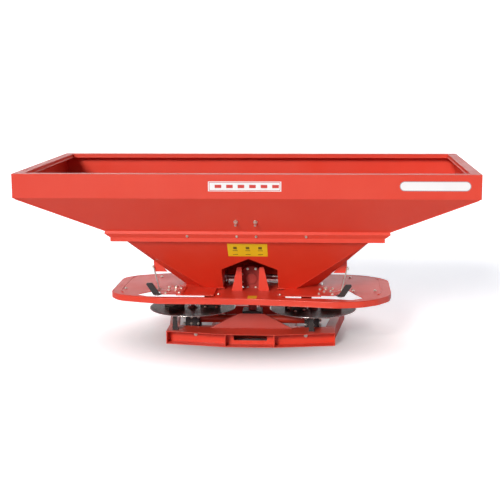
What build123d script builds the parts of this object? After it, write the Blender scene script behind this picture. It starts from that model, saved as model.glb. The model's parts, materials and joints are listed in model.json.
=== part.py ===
from build123d import *
from math import atan2, cos, degrees, hypot, radians, sin, tan
import os

os.makedirs("parts", exist_ok=True)

# Three-point mounted twin-disc fertiliser spreader.
# +X is the machine's right side seen from behind, +Y points forward to the tractor, +Z is up.
# The origin is on the ground, below the middle of the hopper rim.  Millimetres.

# Upper hopper
RIM_X = 1350
RIM_Y = 695
RIM_TOP = 1126
BAND_BOTTOM = 985
COLLAR_TOP = 764
THROAT_X = 849
THROAT_Y = 495
SHEET = 3
FLANGE_WIDTH = 60
LIP_HEIGHT = 22

# Collar round the hopper's throat
NOSE_Z = 748
WEB_BOTTOM = 722
COLLAR_BOTTOM = 698
NOSE_X = 853
NOSE_Y = 503
SKIRT_X = 820
SKIRT_Y = 487
COLLAR_SHEET = 4

# Funnel
FUNNEL_X = 726
FUNNEL_Y = 460
FUNNEL_BOTTOM = 350
FUNNEL_INSET = 4
FOOT_X = 415
FOOT_Y = 145
FACET_X = 289
FACET_Y = 45
TUNNEL_X = 177
EAVE_Z = 494
RIDGE_Z = 575

# Metering floor, shutters and guard
FLOOR = 5
FLOOR_REAR = -372
FLOOR_FRONT = 150
FLOOR_OUTER = 445
BRIDGE_X = 213
OUTLET_X = 296
OUTLET_Y = -15
OUTLET_SIZE = (100, 80)
SHUTTER_TOP = FUNNEL_BOTTOM - FLOOR - 0.5
SHUTTER_SHEET = 3.5
PIVOT_X = 470
PIVOT_Y = -175
PIVOT_RADIUS = 8
GRIP_X = 566
GRIP_Y = -350
GRIP_SHEET = 14
GRIP_HEIGHT = 74
GUARD_TOP = 338
GUARD_SHEET = 4
GUARD_LIP = 36
GUARD_ROLL = 3
GUARD_EDGE = [
    (-873, -235),
    (-812, -330),
    (-700, -370),
    (-537, -419),
    (0, -419),
    (350, -462),
    (529, -495),
    (690, -466),
    (790, -395),
    (862, -290),
    (878, -180),
    (878, 190),
    (825, 268),
    (735, 335),
    (600, 372),
    (-600, 362),
    (-700, 328),
    (-795, 280),
    (-873, 205),
]
GUARD_CORNER = 120
WINDOW_FRONT = 135
BRIDGE_FRONT = -110
HOUSING_HOLE = (150, 160)

# Base frame
BASE_TOP = 82
BASE_SHEET = 4
KNEE_X = 153
KNEE_Y = -290
BASE_X = 533
BASE_Y = -221
CHANNEL_DEPTH = 75
DECK_DEPTH = 175
BEAM_REAR = 510
BEAM_FRONT = 590
RAIL_FRONT_X = 599
RAIL_WIDTH = 60

# Headstock, category 2 hitch: the top pin is 610 above the lower pins
POST_X = 330
POST_WIDTH = 60
POST_REAR = 510
POST_FRONT = 580
POST_TOP = 778
HITCH_Y = 655
LOWER_PIN_Z = 195
MAST_HEIGHT = 610
LOWER_PIN_RADIUS = 14
LOWER_PIN_LENGTH = 87
UPPER_BORE_RADIUS = 12.75
EAR_INNER = 26
EAR_SHEET = 12

# Drive line
DRIVE_Y = 5
DRIVE_Z = 115
DISC_X = 390
AGITATOR_Z = 395
MODULE = 4
SMALL_MODULE = 2.25
CROWN = 24
PINION = 16
DISC_PINION = 12
AGITATOR_CROWN = 32
TOOTH_FACE = 16
SMALL_FACE = 12
SHAFT_RADIUS = 12.5
STUB_RADIUS = 17.5
BEARING_RADIUS = 22
RUNNING_GAP = 0.05
HOUSING_HALF = 62
HOUSING_WALL = 8
SIDE_INNER = 53
SIDE_OUTER = 40
TUBE_RADIUS = 27
PTO_END = 688
DISC_RADIUS = 277
DISC_Z = 184
DISC_SHEET = 3
AGITATOR_HOUSING_RADIUS = 78
AGITATOR_HOUSING_HALF = 56

SIDES = {"left": -1, "right": 1}


def slab(outer, inner):
    """Closed plate between two matching flat polygons."""
    faces = [Face(Wire.make_polygon(outer)), Face(Wire.make_polygon(inner))]
    for i in range(len(outer)):
        j = (i + 1) % len(outer)
        faces.append(Face(Wire.make_polygon([outer[i], outer[j], inner[j], inner[i]])))
    return Solid(Shell(faces))


def level_edge(level, side, shrink=(0, 0), drop=0):
    """Two corners of one side of a rectangle given as half sizes and height."""
    x = level[0] - shrink[0]
    y = level[1] - shrink[1]
    z = level[2] - drop
    edges = {
        "rear": [(-x, -y, z), (x, -y, z)],
        "front": [(x, y, z), (-x, y, z)],
        "left": [(-x, y, z), (-x, -y, z)],
        "right": [(x, -y, z), (x, y, z)],
    }
    return edges[side]


def side_sheet(top, bottom, side, shrink=(0, 0), drop=0):
    """Sheet on one side between two rectangle levels, mitred at its ends."""
    outer = level_edge(top, side) + level_edge(bottom, side)[::-1]
    inner = level_edge(top, side, shrink, drop) + level_edge(bottom, side, shrink, drop)[::-1]
    return slab(outer, inner)


def bar(start, end, width):
    """Round-ended bar between two points of a sketch."""
    middle = ((start[0] + end[0]) / 2, (start[1] + end[1]) / 2)
    run_x = end[0] - start[0]
    run_y = end[1] - start[1]
    with Locations(Location(middle, degrees(atan2(run_y, run_x)))):
        SlotCenterToCenter(hypot(run_x, run_y), width)


def hex_bolts(places, size, head):
    """Hexagon heads with washers and stud ends, one at each location."""
    upright = (Align.CENTER, Align.CENTER, Align.MIN)
    with Locations(*places):
        Cylinder(size, head * 0.3, align=upright)
    with BuildSketch(*[Plane(place * Location((0, 0, head * 0.3))) for place in places]) as heads:
        RegularPolygon(size * 0.85, 6)
    extrude(heads.sketch, amount=head)
    with Locations(*[place * Location((0, 0, head * 1.3)) for place in places]):
        Cylinder(size * 0.4, head * 0.4, align=upright)


# ---------------------------------------------------------------- upper hopper
rim = (RIM_X, RIM_Y, RIM_TOP)
rim_inner = (RIM_X - FLANGE_WIDTH, RIM_Y - FLANGE_WIDTH, RIM_TOP)
band_top = (RIM_X, RIM_Y, RIM_TOP - SHEET)
band_bottom = (RIM_X, RIM_Y, BAND_BOTTOM)
throat = (THROAT_X, THROAT_Y, COLLAR_TOP)
lip_top = (rim_inner[0] + SHEET, rim_inner[1] + SHEET, RIM_TOP - SHEET)
lip_bottom = (lip_top[0], lip_top[1], lip_top[2] - LIP_HEIGHT)
slope_drop = BAND_BOTTOM - COLLAR_TOP
SLOPE_SHRINK = (
    SHEET * hypot(slope_drop, RIM_X - THROAT_X) / slope_drop,
    SHEET * hypot(slope_drop, RIM_Y - THROAT_Y) / slope_drop,
)

for name, side in {
    "upper_rear_wall": "rear",
    "upper_front_wall": "front",
    "upper_left_end": "left",
    "upper_right_end": "right",
}.items():
    with BuildPart() as wall:
        add(side_sheet(rim, rim_inner, side, drop=SHEET))
        add(side_sheet(band_top, band_bottom, side, shrink=(SHEET, SHEET)))
        add(side_sheet(lip_top, lip_bottom, side, shrink=(SHEET, SHEET)))
        add(side_sheet(band_bottom, throat, side, shrink=SLOPE_SHRINK))
    wall.part.label = name
    export_step(wall.part, f"parts/{name}.step")

# ---------------------------------------------------------------- collar and neck
nose = (NOSE_X, NOSE_Y, NOSE_Z)
web_bottom = (SKIRT_X, SKIRT_Y, WEB_BOTTOM)
skirt_bottom = (SKIRT_X, SKIRT_Y, COLLAR_BOTTOM)
collar_levels = [throat, nose, web_bottom, skirt_bottom]
with BuildPart() as collar:
    for top, bottom in zip(collar_levels, collar_levels[1:]):
        for side in ("rear", "front", "left", "right"):
            add(side_sheet(top, bottom, side, shrink=(COLLAR_SHEET, COLLAR_SHEET)))
collar.part.label = "collar"
export_step(collar.part, "parts/collar.step")

neck_top = (THROAT_X - COLLAR_SHEET, THROAT_Y - COLLAR_SHEET, COLLAR_TOP)
neck_bottom = (FUNNEL_X, FUNNEL_Y, COLLAR_BOTTOM)
neck_drop = COLLAR_TOP - COLLAR_BOTTOM
NECK_SHRINK = (
    SHEET * hypot(neck_drop, neck_top[0] - FUNNEL_X) / neck_drop,
    SHEET * hypot(neck_drop, neck_top[1] - FUNNEL_Y) / neck_drop,
)
with BuildPart() as hopper_neck:
    for side in ("rear", "front", "left", "right"):
        add(side_sheet(neck_top, neck_bottom, side, shrink=NECK_SHRINK))
hopper_neck.part.label = "hopper_neck"
export_step(hopper_neck.part, "parts/hopper_neck.step")

# ---------------------------------------------------------------- funnel
PANEL_RUN = (FUNNEL_Y - FOOT_Y) / (COLLAR_BOTTOM - FUNNEL_BOTTOM)


def shrunk(points):
    """The same polygon moved towards the machine's middle by the funnel's sheet."""
    moved = []
    for x, y, z in points:
        inward_x = -FUNNEL_INSET if x > 0 else FUNNEL_INSET
        inward_y = -FUNNEL_INSET if y > 0 else FUNNEL_INSET
        moved.append((x + inward_x, y + inward_y, z))
    return moved


def panel_inside(z):
    """Distance of the long panels' inner faces from the middle plane, at a height."""
    return FUNNEL_Y - FUNNEL_INSET - (COLLAR_BOTTOM - z) * PANEL_RUN


tunnel_inner = TUNNEL_X - SHEET
eave_inner = EAVE_Z - 3.5
ridge_inner = RIDGE_Z - 3.5

for name, facing in {"funnel_rear_panel": -1, "funnel_front_panel": 1}.items():
    outer = [
        (-FUNNEL_X, facing * FUNNEL_Y, COLLAR_BOTTOM),
        (FUNNEL_X, facing * FUNNEL_Y, COLLAR_BOTTOM),
        (FACET_X, facing * FOOT_Y, FUNNEL_BOTTOM),
        (-FACET_X, facing * FOOT_Y, FUNNEL_BOTTOM),
    ]
    with BuildPart() as panel:
        add(slab(outer, shrunk(outer)))
        if facing < 0:
            with BuildSketch(Plane.XZ):
                Polygon(
                    (-tunnel_inner, FUNNEL_BOTTOM - 10),
                    (tunnel_inner, FUNNEL_BOTTOM - 10),
                    (tunnel_inner, eave_inner),
                    (0, ridge_inner),
                    (-tunnel_inner, eave_inner),
                    align=None,
                )
            extrude(amount=FUNNEL_Y, mode=Mode.SUBTRACT)
    panel.part.label = name
    export_step(panel.part, f"parts/{name}.step")

for label, s in SIDES.items():
    name = f"funnel_{label}_side"
    with BuildPart() as panel:
        outer = [
            (s * FUNNEL_X, -FUNNEL_Y, COLLAR_BOTTOM),
            (s * FUNNEL_X, FUNNEL_Y, COLLAR_BOTTOM),
            (s * FOOT_X, FACET_Y, FUNNEL_BOTTOM),
            (s * FOOT_X, -FACET_Y, FUNNEL_BOTTOM),
        ]
        add(slab(outer, shrunk(outer)))
        for facing in (-1, 1):
            outer = [
                (s * FUNNEL_X, facing * FUNNEL_Y, COLLAR_BOTTOM),
                (s * FOOT_X, facing * FACET_Y, FUNNEL_BOTTOM),
                (s * FACET_X, facing * FOOT_Y, FUNNEL_BOTTOM),
            ]
            add(slab(outer, shrunk(outer)))
    panel.part.label = name
    export_step(panel.part, f"parts/{name}.step")


def tunnel_strip(x0, z0, x1, z1):
    """Corners of a strip that runs from the rear panel to the front panel."""
    return [
        (x0, -panel_inside(z0), z0),
        (x1, -panel_inside(z1), z1),
        (x1, panel_inside(z1), z1),
        (x0, panel_inside(z0), z0),
    ]


with BuildPart() as funnel_saddle:
    for s in (-1, 1):
        add(
            slab(
                tunnel_strip(s * TUNNEL_X, FUNNEL_BOTTOM, s * TUNNEL_X, EAVE_Z),
                tunnel_strip(s * tunnel_inner, FUNNEL_BOTTOM, s * tunnel_inner, EAVE_Z),
            )
        )
        add(
            slab(
                tunnel_strip(s * TUNNEL_X, EAVE_Z, 0, RIDGE_Z),
                tunnel_strip(s * tunnel_inner, eave_inner, 0, ridge_inner),
            )
        )
    with Locations(Location((0, DRIVE_Y, AGITATOR_Z), (0, 90, 0))):
        Cylinder(BEARING_RADIUS, 2 * TUNNEL_X + 10, mode=Mode.SUBTRACT)
funnel_saddle.part.label = "funnel_saddle"
export_step(funnel_saddle.part, "parts/funnel_saddle.step")

# ---------------------------------------------------------------- metering floor
with BuildPart() as floor_plates:
    with BuildSketch(Plane.XY.offset(FUNNEL_BOTTOM - FLOOR)):
        for s in (-1, 1):
            Polygon(
                (s * 165, FLOOR_FRONT),
                (s * 165, -FOOT_Y - 5),
                (s * BRIDGE_X, -FOOT_Y - 5),
                (s * BRIDGE_X, FLOOR_REAR),
                (s * FLOOR_OUTER, FLOOR_REAR),
                (s * FLOOR_OUTER, FLOOR_FRONT),
                align=None,
            )
        with Locations((-OUTLET_X, OUTLET_Y), (OUTLET_X, OUTLET_Y)):
            RectangleRounded(*OUTLET_SIZE, 12, mode=Mode.SUBTRACT)
    extrude(amount=FLOOR)
floor_plates.part.label = "floor_plates"
export_step(floor_plates.part, "parts/floor_plates.step")

QUADRANT_SHEET = 3
with BuildPart() as metering_quadrants:
    with BuildSketch(Plane.XY.offset(FUNNEL_BOTTOM)):
        for s in (-1, 1):
            with BuildLine():
                FilletPolyline(
                    (s * 405, FLOOR_REAR),
                    (s * 528, FLOOR_REAR),
                    (s * 556, -300),
                    (s * 580, -262),
                    (s * 580, -205),
                    (s * 510, -95),
                    (s * 455, -95),
                    (s * 405, -150),
                    close=True,
                    radius=15,
                )
            make_face()
        with Locations((-PIVOT_X, PIVOT_Y), (PIVOT_X, PIVOT_Y)):
            Circle(PIVOT_RADIUS, mode=Mode.SUBTRACT)
    extrude(amount=QUADRANT_SHEET)
metering_quadrants.part.label = "metering_quadrants"
export_step(metering_quadrants.part, "parts/metering_quadrants.step")

quadrant_top = FUNNEL_BOTTOM + QUADRANT_SHEET
shutter_bottom = SHUTTER_TOP - SHUTTER_SHEET
with BuildPart() as shutter_pivots:
    pivot_bottom = shutter_bottom - 1.5
    pivot_length = quadrant_top - pivot_bottom
    with Locations((-PIVOT_X, PIVOT_Y, pivot_bottom), (PIVOT_X, PIVOT_Y, pivot_bottom)):
        Cylinder(PIVOT_RADIUS, pivot_length, align=(Align.CENTER, Align.CENTER, Align.MIN))
        Cylinder(14, 9, align=(Align.CENTER, Align.CENTER, Align.MAX))
    hex_bolts([Location((s * PIVOT_X, PIVOT_Y, quadrant_top)) for s in (-1, 1)], 14, 8)
shutter_pivots.part.label = "shutter_pivots"
export_step(shutter_pivots.part, "parts/shutter_pivots.step")

QUADRANT_BOLTS = [(514, -177), (435, -198), (461, -266), (512, -350), (430, -330)]
for label, s in SIDES.items():
    with BuildPart() as shutter:
        with BuildSketch(Plane.XY.offset(shutter_bottom)):
            with Locations((s * OUTLET_X, OUTLET_Y)):
                RectangleRounded(OUTLET_SIZE[0] + 16, OUTLET_SIZE[1] + 12, 16)
            bar((s * PIVOT_X, PIVOT_Y), (s * (OUTLET_X + 22), OUTLET_Y - 14), 52)
            bar((s * PIVOT_X, PIVOT_Y), (s * GRIP_X, GRIP_Y), 34)
            with Locations((s * PIVOT_X, PIVOT_Y)):
                Circle(PIVOT_RADIUS + RUNNING_GAP, mode=Mode.SUBTRACT)
        extrude(amount=SHUTTER_SHEET)
    shutter.part.label = f"shutter_{label}"
    export_step(shutter.part, f"parts/shutter_{label}.step")

    with BuildPart() as grip:
        with BuildSketch(Plane.XZ.offset(-GRIP_Y - GRIP_SHEET / 2)):
            Polygon(
                (s * (GRIP_X - 21), SHUTTER_TOP),
                (s * (GRIP_X + 21), SHUTTER_TOP),
                (s * (GRIP_X + 71), SHUTTER_TOP + GRIP_HEIGHT),
                (s * (GRIP_X + 27), SHUTTER_TOP + GRIP_HEIGHT),
                align=None,
            )
        extrude(amount=GRIP_SHEET)
        fillet(grip.edges().filter_by(Axis.Y).sort_by(Axis.Z)[-2:], 8)
    grip.part.label = f"shutter_grip_{label}"
    export_step(grip.part, f"parts/shutter_grip_{label}.step")

# ---------------------------------------------------------------- disc guard
with BuildSketch() as guard_outline:
    with BuildLine():
        FilletPolyline(*GUARD_EDGE, close=True, radius=GUARD_CORNER)
    make_face()
with BuildSketch() as guard_core:
    add(guard_outline.sketch)
    offset(amount=-GUARD_ROLL, mode=Mode.REPLACE)

BRIDGE_PLATE_X = BRIDGE_X + 12
WINDOW_EDGES = [
    [
        (BRIDGE_PLATE_X, -376),
        (440, -386),
        (625, -416),
        (702, -366),
        (655, -255),
        (604, -105),
        (450, -60),
        (450, WINDOW_FRONT),
        (BRIDGE_PLATE_X, WINDOW_FRONT),
    ],
    [
        (-BRIDGE_PLATE_X, -376),
        (-BRIDGE_PLATE_X, WINDOW_FRONT),
        (-450, WINDOW_FRONT),
        (-450, -60),
        (-560, -110),
        (-600, -200),
        (-700, -315),
        (-630, -364),
        (-540, -378),
    ],
]
WINDOW_CORNER = 20
with BuildPart() as guard_plate:
    with BuildSketch(Plane.XY.offset(GUARD_TOP - GUARD_SHEET)):
        add(guard_outline.sketch)
        for window_edge in WINDOW_EDGES:
            with BuildLine():
                FilletPolyline(*window_edge, close=True, radius=WINDOW_CORNER)
            make_face(mode=Mode.SUBTRACT)
        with Locations((0, DRIVE_Y - 8)):
            RectangleRounded(*HOUSING_HOLE, 12, mode=Mode.SUBTRACT)
    extrude(amount=GUARD_SHEET)
    with BuildSketch(Plane.XY.offset(GUARD_TOP - GUARD_SHEET)):
        add(guard_outline.sketch)
        add(guard_core.sketch, mode=Mode.SUBTRACT)
    extrude(amount=-(GUARD_LIP - GUARD_SHEET))
guard_plate.part.label = "guard_plate"
export_step(guard_plate.part, "parts/guard_plate.step")

floor_bottom = FUNNEL_BOTTOM - FLOOR
spacer_height = floor_bottom - GUARD_TOP
ARM_MIDDLE = 405
with BuildPart() as guard_supports:
    with BuildSketch(Plane.XY.offset(GUARD_TOP)):
        for s in (-1, 1):
            with Locations((s * (BRIDGE_X + 6), -270)):
                Rectangle(12, 100)
            with Locations((s * 330, (WINDOW_FRONT + FLOOR_FRONT) / 2)):
                Rectangle(180, FLOOR_FRONT - WINDOW_FRONT)
    extrude(amount=spacer_height)
    with BuildSketch(Plane.XY.offset(GUARD_TOP)):
        with Locations((-POST_X, ARM_MIDDLE), (POST_X, ARM_MIDDLE)):
            Rectangle(50, 2 * (POST_REAR - ARM_MIDDLE))
    extrude(amount=6)
guard_supports.part.label = "guard_supports"
export_step(guard_supports.part, "parts/guard_supports.step")

STAY_X = 605
STAY_Y = -225
STAY_TOP = 505
STAY_FOOT_X = 570
STAY_RADIUS = 5
BRACKET_BOTTOM = 464
BRACKET_TOP = 560
SIDE_RUN = (FUNNEL_X - FOOT_X) / (COLLAR_BOTTOM - FUNNEL_BOTTOM)


def side_outside(z):
    """Distance of the funnel's end faces from the middle plane, at a height."""
    return FOOT_X + (z - FUNNEL_BOTTOM) * SIDE_RUN


with BuildPart() as stay_brackets:
    for s in (-1, 1):
        with BuildSketch(Plane.XZ.offset(-STAY_Y - STAY_RADIUS - 6)):
            Polygon(
                (s * side_outside(BRACKET_BOTTOM), BRACKET_BOTTOM),
                (s * (STAY_X - 12), BRACKET_BOTTOM),
                (s * (STAY_X - 3), STAY_TOP + 6),
                (s * side_outside(BRACKET_TOP), BRACKET_TOP),
                align=None,
            )
        extrude(amount=6)
stay_brackets.part.label = "stay_brackets"
export_step(stay_brackets.part, "parts/stay_brackets.step")

with BuildPart() as guard_stays:
    for s in (-1, 1):
        with BuildSketch(Plane.XY.offset(STAY_TOP)) as stay_head:
            with Locations((s * STAY_X, STAY_Y)):
                Circle(STAY_RADIUS)
        with BuildSketch(Plane.XY.offset(quadrant_top)) as stay_foot:
            with Locations((s * STAY_FOOT_X, STAY_Y)):
                Circle(STAY_RADIUS)
        loft([stay_head.sketch, stay_foot.sketch])
guard_stays.part.label = "guard_stays"
export_step(guard_stays.part, "parts/guard_stays.step")

GUSSET_Y = -170
GUSSET_TOP = 488
with BuildPart() as tunnel_gussets:
    for s in (-1, 1):
        with BuildSketch(Plane.XZ.offset(-GUSSET_Y)):
            Polygon(
                (s * 50, GUARD_TOP),
                (s * 118, GUARD_TOP),
                (s * 84, GUSSET_TOP),
                (s * 56, GUSSET_TOP),
                align=None,
            )
        extrude(amount=5)
        with BuildSketch(Plane.YZ.offset(s * 81)):
            Polygon(
                (GUSSET_Y, GUARD_TOP),
                (BRIDGE_FRONT, GUARD_TOP),
                (-30, 380),
                (-30, 410),
                (GUSSET_Y, GUSSET_TOP - 12),
                align=None,
            )
        extrude(amount=2.5, both=True)
tunnel_gussets.part.label = "tunnel_gussets"
export_step(tunnel_gussets.part, "parts/tunnel_gussets.step")

# ---------------------------------------------------------------- base frame
channel_edge = [(-BASE_X, BASE_Y), (-KNEE_X, KNEE_Y), (KNEE_X, KNEE_Y), (BASE_X, BASE_Y)]


def channel_strip(near, far, z):
    """Plan strip of the rear channel between two depths, drawn at a height."""
    front_line = [(x, y + near) for x, y in channel_edge]
    rear_line = [(x, y + far) for x, y in reversed(channel_edge)]
    return Plane.XY.offset(z), front_line + rear_line


WEB_REAR = CHANNEL_DEPTH
WEB_FACE = CHANNEL_DEPTH - BASE_SHEET
with BuildPart() as base_rear_channel:
    for near, far, low, high in (
        (0, DECK_DEPTH, BASE_TOP - BASE_SHEET, BASE_TOP),
        (0, WEB_REAR, 0, BASE_SHEET),
        (WEB_FACE, WEB_REAR, BASE_SHEET, BASE_TOP - BASE_SHEET),
    ):
        plane, outline = channel_strip(near, far, low)
        with BuildSketch(plane):
            Polygon(*outline, align=None)
        extrude(amount=high - low)
    with BuildSketch(Plane.XZ.offset(-KNEE_Y - WEB_REAR - 5)):
        with Locations((0, 44)):
            RectangleRounded(210, 34, 6)
    extrude(amount=BASE_SHEET + 10, mode=Mode.SUBTRACT)
base_rear_channel.part.label = "base_rear_channel"
export_step(base_rear_channel.part, "parts/base_rear_channel.step")

web_height = BASE_TOP - 2 * BASE_SHEET
END_PLATE = 6
with BuildPart() as base_dividers:
    with BuildSketch(Plane.XY.offset(BASE_SHEET)):
        with Locations((-KNEE_X, KNEE_Y + WEB_FACE / 2), (KNEE_X, KNEE_Y + WEB_FACE / 2)):
            Rectangle(END_PLATE, WEB_FACE - 3)
        for s in (-1, 1):
            with Locations((s * (BASE_X - END_PLATE / 2), BASE_Y + WEB_FACE / 2 + 1)):
                Rectangle(END_PLATE, WEB_FACE - 8)
            with Locations((s * (BASE_X - END_PLATE / 2), BASE_Y + (WEB_REAR + DECK_DEPTH) / 2)):
                Rectangle(END_PLATE, DECK_DEPTH - WEB_REAR)
    extrude(amount=web_height)
base_dividers.part.label = "base_dividers"
export_step(base_dividers.part, "parts/base_dividers.step")

rail_rear = BASE_Y + DECK_DEPTH
RAIL_SHEET = 5
with BuildPart() as base_side_rails:
    for s in (-1, 1):
        for width, low, high in (
            (RAIL_SHEET, 0, BASE_TOP),
            (RAIL_WIDTH, 0, RAIL_SHEET),
            (RAIL_WIDTH, BASE_TOP - RAIL_SHEET, BASE_TOP),
        ):
            with BuildSketch(Plane.XY.offset(low)):
                Polygon(
                    (s * BASE_X, rail_rear),
                    (s * RAIL_FRONT_X, BEAM_REAR),
                    (s * (RAIL_FRONT_X - width), BEAM_REAR),
                    (s * (BASE_X - width), rail_rear),
                    align=None,
                )
            extrude(amount=high - low)
base_side_rails.part.label = "base_side_rails"
export_step(base_side_rails.part, "parts/base_side_rails.step")

BEAM_HALF = RAIL_FRONT_X
with BuildPart() as base_front_beam:
    with BuildSketch(Plane.YZ.offset(-BEAM_HALF)):
        with Locations(((BEAM_REAR + BEAM_FRONT) / 2, BASE_TOP / 2)):
            RectangleRounded(BEAM_FRONT - BEAM_REAR, BASE_TOP, 8)
            RectangleRounded(BEAM_FRONT - BEAM_REAR - 10, BASE_TOP - 10, 4, mode=Mode.SUBTRACT)
    extrude(amount=2 * BEAM_HALF)
base_front_beam.part.label = "base_front_beam"
export_step(base_front_beam.part, "parts/base_front_beam.step")

CROSS_HALF = BASE_X - RAIL_WIDTH - 1
CROSS_REAR = -60
CROSS_FRONT = 70
housing_bottom = DRIVE_Z - HOUSING_HALF - 1
with BuildPart() as gearbox_beam:
    with BuildSketch(Plane.YZ.offset(-CROSS_HALF)):
        with Locations(((CROSS_REAR + CROSS_FRONT) / 2, housing_bottom / 2)):
            Rectangle(CROSS_FRONT - CROSS_REAR, housing_bottom)
        with Locations(((CROSS_REAR + CROSS_FRONT) / 2, housing_bottom / 2 - 3)):
            Rectangle(CROSS_FRONT - CROSS_REAR - 12, housing_bottom - 6, mode=Mode.SUBTRACT)
    extrude(amount=2 * CROSS_HALF)
gearbox_beam.part.label = "gearbox_beam"
export_step(gearbox_beam.part, "parts/gearbox_beam.step")

with BuildPart() as base_longitudinals:
    with BuildSketch(Plane.XY):
        with Locations((-250, (CROSS_FRONT + BEAM_REAR) / 2), (250, (CROSS_FRONT + BEAM_REAR) / 2)):
            Rectangle(50, BEAM_REAR - CROSS_FRONT)
    extrude(amount=housing_bottom)
base_longitudinals.part.label = "base_longitudinals"
export_step(base_longitudinals.part, "parts/base_longitudinals.step")

SHIELD_TOP_Z = 172
deck_front = KNEE_Y + DECK_DEPTH
shield_foot = [(-262, deck_front - 6, BASE_TOP), (262, deck_front - 6, BASE_TOP)]
shield_head = [(80, deck_front + 14, SHIELD_TOP_Z), (-80, deck_front + 14, SHIELD_TOP_Z)]
with BuildPart() as gearbox_shield:
    shield_face = shield_foot + shield_head
    add(slab(shield_face, [(x, y + 4, z) for x, y, z in shield_face]))
gearbox_shield.part.label = "gearbox_shield"
export_step(gearbox_shield.part, "parts/gearbox_shield.step")

with BuildPart() as deck_brackets:
    for x in (-479, 384):
        with BuildSketch(Plane.XZ.offset(185)):
            Polygon((x - 18, BASE_TOP), (x + 18, BASE_TOP), (x + 12, 168), (x - 12, 168), align=None)
        extrude(amount=8)
        with BuildSketch(Plane.XY.offset(BASE_TOP)):
            with Locations((x, -170)):
                Rectangle(36, 30)
        extrude(amount=6)
deck_brackets.part.label = "deck_brackets"
export_step(deck_brackets.part, "parts/deck_brackets.step")

# ---------------------------------------------------------------- headstock
with BuildPart() as headstock_posts:
    with BuildSketch(Plane.XY.offset(BASE_TOP)):
        with Locations((-POST_X, (POST_REAR + POST_FRONT) / 2), (POST_X, (POST_REAR + POST_FRONT) / 2)):
            RectangleRounded(POST_WIDTH, POST_FRONT - POST_REAR, 7)
            RectangleRounded(POST_WIDTH - 10, POST_FRONT - POST_REAR - 10, 3, mode=Mode.SUBTRACT)
    extrude(amount=POST_TOP - BASE_TOP)
headstock_posts.part.label = "headstock_posts"
export_step(headstock_posts.part, "parts/headstock_posts.step")

post_inner = POST_X - POST_WIDTH / 2
post_outer = POST_X + POST_WIDTH / 2
TOP_BEAM_Z = 725
TOP_BEAM = 70
with BuildPart() as headstock_beam:
    with BuildSketch(Plane.YZ.offset(-post_inner)):
        with Locations(((POST_REAR + POST_FRONT) / 2, TOP_BEAM_Z)):
            RectangleRounded(TOP_BEAM - 4, TOP_BEAM, 7)
            RectangleRounded(TOP_BEAM - 14, TOP_BEAM - 10, 3, mode=Mode.SUBTRACT)
    extrude(amount=2 * post_inner)
headstock_beam.part.label = "headstock_beam"
export_step(headstock_beam.part, "parts/headstock_beam.step")

with BuildPart() as collar_lugs:
    with BuildSketch(Plane.XY.offset(COLLAR_BOTTOM)):
        with Locations((-POST_X, (SKIRT_Y + POST_REAR) / 2), (POST_X, (SKIRT_Y + POST_REAR) / 2)):
            Rectangle(44, POST_REAR - SKIRT_Y)
    extrude(amount=WEB_BOTTOM - COLLAR_BOTTOM)
collar_lugs.part.label = "collar_lugs"
export_step(collar_lugs.part, "parts/collar_lugs.step")

EAR_TOP = LOWER_PIN_Z + MAST_HEIGHT
ear_face = (POST_REAR + POST_FRONT) / 2 + (TOP_BEAM - 4) / 2
with BuildPart() as upper_hitch_ears:
    for s in (-1, 1):
        with BuildSketch(Plane.YZ.offset(s * (EAR_INNER + EAR_SHEET / 2))):
            with BuildLine():
                FilletPolyline(
                    (ear_face, TOP_BEAM_Z - 25),
                    (ear_face, TOP_BEAM_Z + 25),
                    (HITCH_Y - 24, EAR_TOP + 34),
                    (HITCH_Y + 34, EAR_TOP + 34),
                    (HITCH_Y + 34, EAR_TOP - 24),
                    (ear_face + 30, TOP_BEAM_Z - 25),
                    close=True,
                    radius=[1, 1, 26, 26, 22, 12],
                )
            make_face()
            with Locations((HITCH_Y, EAR_TOP)):
                Circle(UPPER_BORE_RADIUS, mode=Mode.SUBTRACT)
        extrude(amount=EAR_SHEET / 2, both=True)
upper_hitch_ears.part.label = "upper_hitch_ears"
export_step(upper_hitch_ears.part, "parts/upper_hitch_ears.step")

LOWER_PLATE = 12
with BuildPart() as lower_hitch_plates:
    for s in (-1, 1):
        with BuildSketch(Plane.YZ.offset(s * (post_outer + LOWER_PLATE / 2))):
            with BuildLine():
                FilletPolyline(
                    (POST_REAR + 8, LOWER_PIN_Z - 75),
                    (POST_REAR + 8, LOWER_PIN_Z + 95),
                    (POST_FRONT + 15, LOWER_PIN_Z + 95),
                    (HITCH_Y + 34, LOWER_PIN_Z + 30),
                    (HITCH_Y + 34, LOWER_PIN_Z - 36),
                    (POST_FRONT + 15, LOWER_PIN_Z - 75),
                    close=True,
                    radius=16,
                )
            make_face()
        extrude(amount=LOWER_PLATE / 2, both=True)
lower_hitch_plates.part.label = "lower_hitch_plates"
export_step(lower_hitch_plates.part, "parts/lower_hitch_plates.step")

PIN_COLLAR = 6
pin_start = post_outer + LOWER_PLATE
with BuildPart() as lower_hitch_pins:
    for s in (-1, 1):
        with BuildSketch(Plane.YZ.offset(s * pin_start)):
            with Locations((HITCH_Y, LOWER_PIN_Z)):
                Circle(LOWER_PIN_RADIUS + 9)
        extrude(amount=s * PIN_COLLAR)
        with BuildSketch(Plane.YZ.offset(s * (pin_start + PIN_COLLAR))):
            with Locations((HITCH_Y, LOWER_PIN_Z)):
                Circle(LOWER_PIN_RADIUS)
        extrude(amount=s * LOWER_PIN_LENGTH)
lower_hitch_pins.part.label = "lower_hitch_pins"
export_step(lower_hitch_pins.part, "parts/lower_hitch_pins.step")

# ---------------------------------------------------------------- gearboxes
def along_x(x, y=DRIVE_Y, z=DRIVE_Z):
    return Location((x, y, z), (0, 90, 0))


def along_y(y, x=0, z=DRIVE_Z):
    return Location((x, y, z), (-90, 0, 0))


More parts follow.
